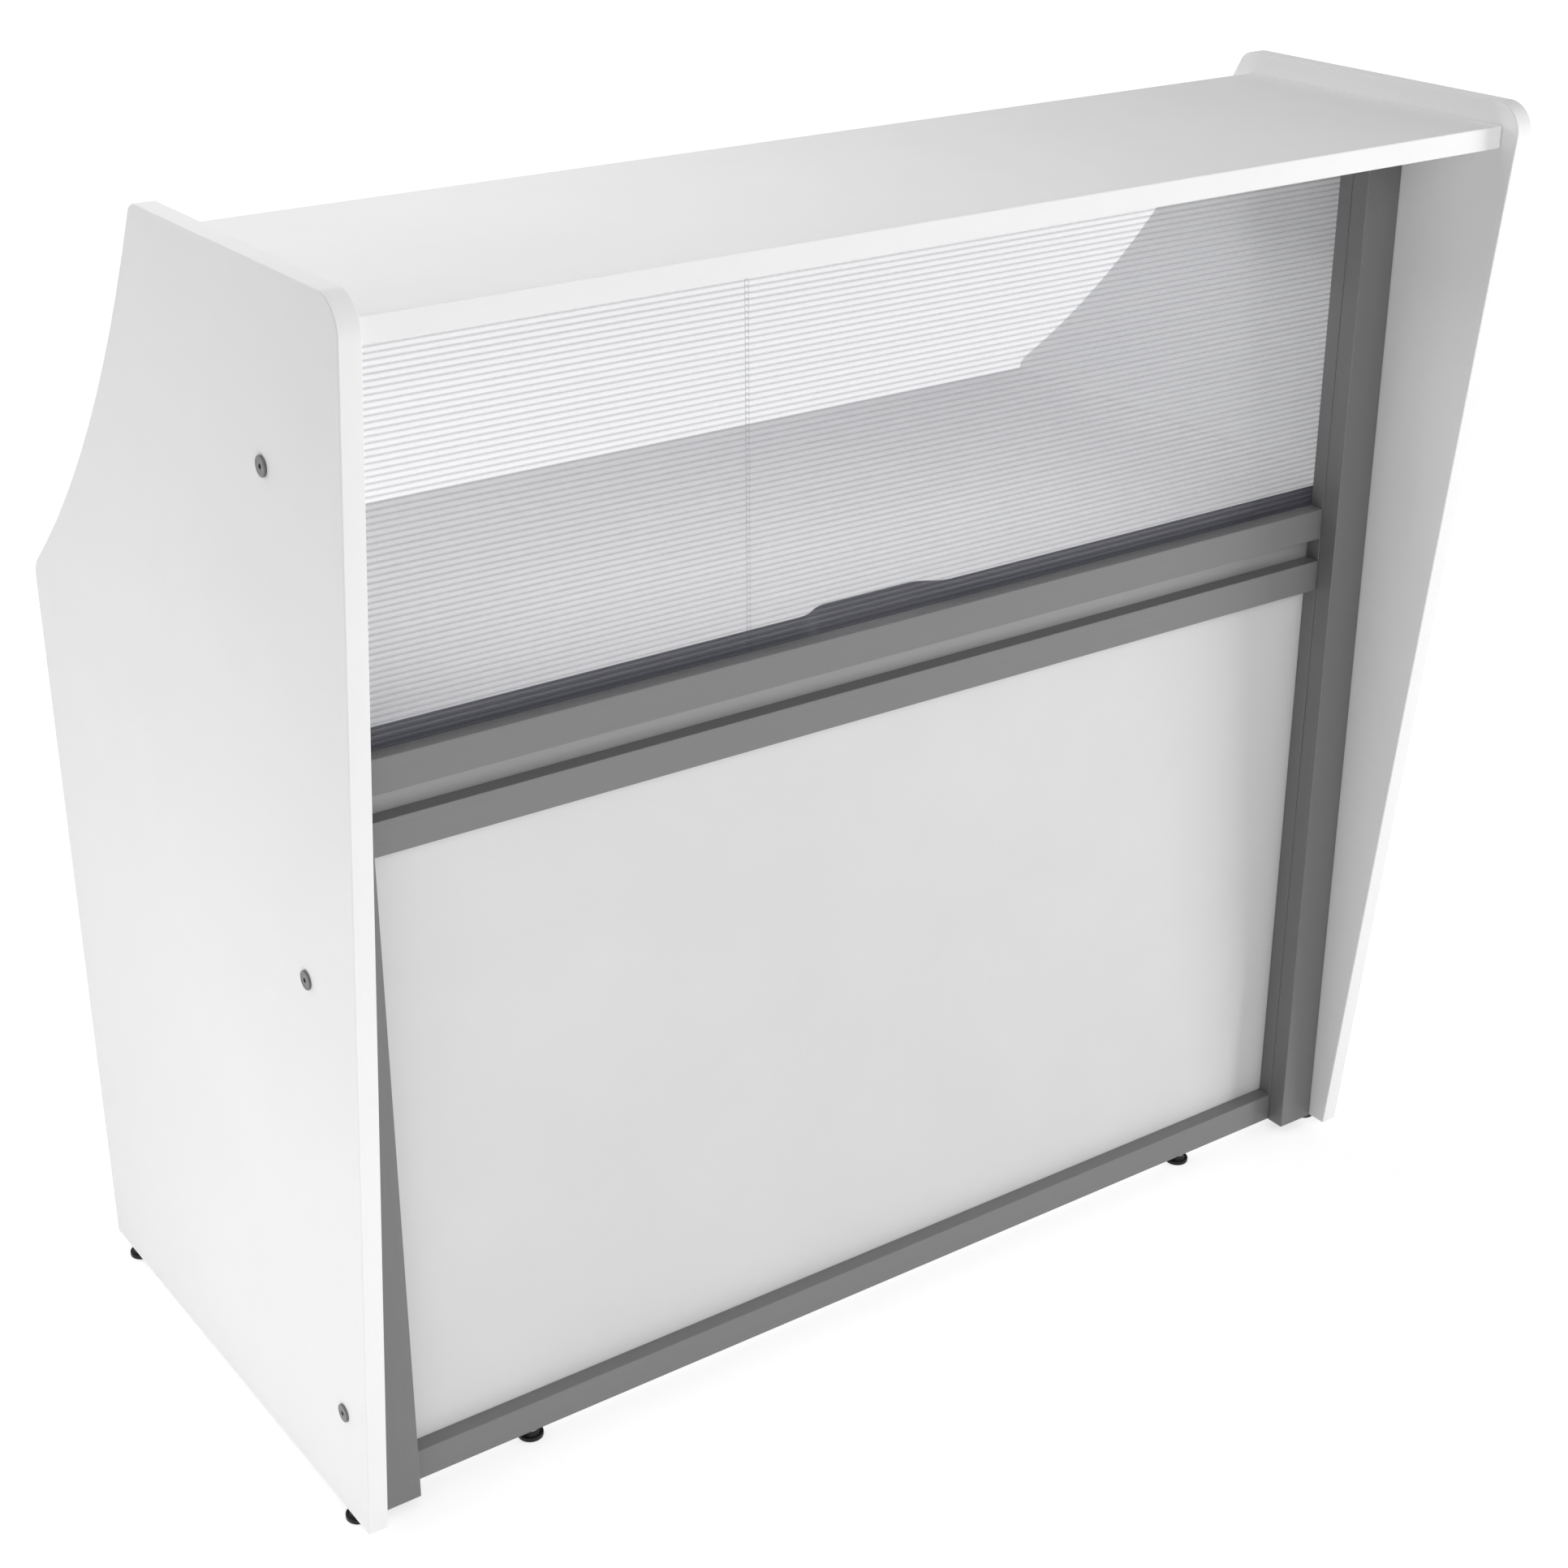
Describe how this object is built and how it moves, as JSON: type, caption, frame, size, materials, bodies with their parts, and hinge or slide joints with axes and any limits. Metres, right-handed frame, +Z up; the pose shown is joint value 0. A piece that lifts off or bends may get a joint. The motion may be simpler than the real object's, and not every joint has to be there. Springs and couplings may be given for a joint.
{
  "type": "reception desk",
  "caption": "Reception desk with white board sides, a raised transaction shelf, a worktop behind a fluted window, an aluminium front frame and levelling feet.",
  "frame": {"origin": "middle of the desk's footprint on the floor", "axes": "+X to the visitor's right, +Y from the visitor's side to the user's side, +Z up"},
  "size_m": [1.228, 0.6984, 1.167],
  "materials": {
    "white_board": "white melamine, fine matt texture",
    "satin_aluminium": "satin grey anodised extrusion",
    "clear_fluted_sheet": "clear twin-wall sheet with level flutes",
    "frosted_sheet": "frosted white sheet",
    "grey_steel": "dull nickel",
    "zinc_steel": "zinc plated",
    "black_plastic": "moulded black",
    "beech": "plain beech"
  },
  "bodies": {
    "desk": {"side_panel_left": "white_board", "side_panel_right": "white_board", "transaction_shelf": "white_board", "worktop": "white_board", "front_post_left": "satin_aluminium", "front_post_right": "satin_aluminium", "frame_stile_left": "satin_aluminium", "frame_stile_right": "satin_aluminium", "top_rail": "satin_aluminium", "sill_rail": "satin_aluminium", "lower_rail": "satin_aluminium", "bottom_rail": "satin_aluminium", "infill_strip": "satin_aluminium", "glazing_bead_left": "satin_aluminium", "glazing_bead_right": "satin_aluminium", "window_left": "clear_fluted_sheet", "window_right": "clear_fluted_sheet", "lower_panel": "frosted_sheet", "connector_bolt_left_lower": "grey_steel", "connector_bolt_left_middle": "grey_steel", "connector_bolt_left_upper": "grey_steel", "connector_bolt_right_lower": "grey_steel", "connector_bolt_right_middle": "grey_steel", "connector_bolt_right_upper": "grey_steel", "worktop_angle_left": "zinc_steel", "worktop_angle_right": "zinc_steel", "worktop_screw_left_front": "zinc_steel", "worktop_screw_left_back": "zinc_steel", "panel_screw_left_front": "zinc_steel", "panel_screw_left_back": "zinc_steel", "worktop_screw_right_front": "zinc_steel", "worktop_screw_right_back": "zinc_steel", "panel_screw_right_front": "zinc_steel", "panel_screw_right_back": "zinc_steel", "foot_insert_left_front": "zinc_steel", "foot_insert_left_back": "zinc_steel", "foot_insert_left_rail": "zinc_steel", "foot_insert_right_front": "zinc_steel", "foot_insert_right_back": "zinc_steel", "foot_insert_right_rail": "zinc_steel", "shelf_dowel_left_front": "beech", "shelf_dowel_left_back": "beech", "shelf_dowel_right_front": "beech", "shelf_dowel_right_back": "beech"},
    "foot_left_front": {"levelling_foot_left_front": "black_plastic"},
    "foot_left_back": {"levelling_foot_left_back": "black_plastic"},
    "foot_left_rail": {"levelling_foot_left_rail": "black_plastic"},
    "foot_right_front": {"levelling_foot_right_front": "black_plastic"},
    "foot_right_back": {"levelling_foot_right_back": "black_plastic"},
    "foot_right_rail": {"levelling_foot_right_rail": "black_plastic"}
  },
  "joints": [
    {"name": "foot_left_front_screw_out", "type": "slide", "parent": "desk", "child": "foot_left_front", "axis": [0, 0, -1], "range_m": [0, 0.012]},
    {"name": "foot_left_back_screw_out", "type": "slide", "parent": "desk", "child": "foot_left_back", "axis": [0, 0, -1], "range_m": [0, 0.012]},
    {"name": "foot_left_rail_screw_out", "type": "slide", "parent": "desk", "child": "foot_left_rail", "axis": [0, 0, -1], "range_m": [0, 0.012]},
    {"name": "foot_right_front_screw_out", "type": "slide", "parent": "desk", "child": "foot_right_front", "axis": [0, 0, -1], "range_m": [0, 0.012]},
    {"name": "foot_right_back_screw_out", "type": "slide", "parent": "desk", "child": "foot_right_back", "axis": [0, 0, -1], "range_m": [0, 0.012]},
    {"name": "foot_right_rail_screw_out", "type": "slide", "parent": "desk", "child": "foot_right_rail", "axis": [0, 0, -1], "range_m": [0, 0.012]}
  ]
}
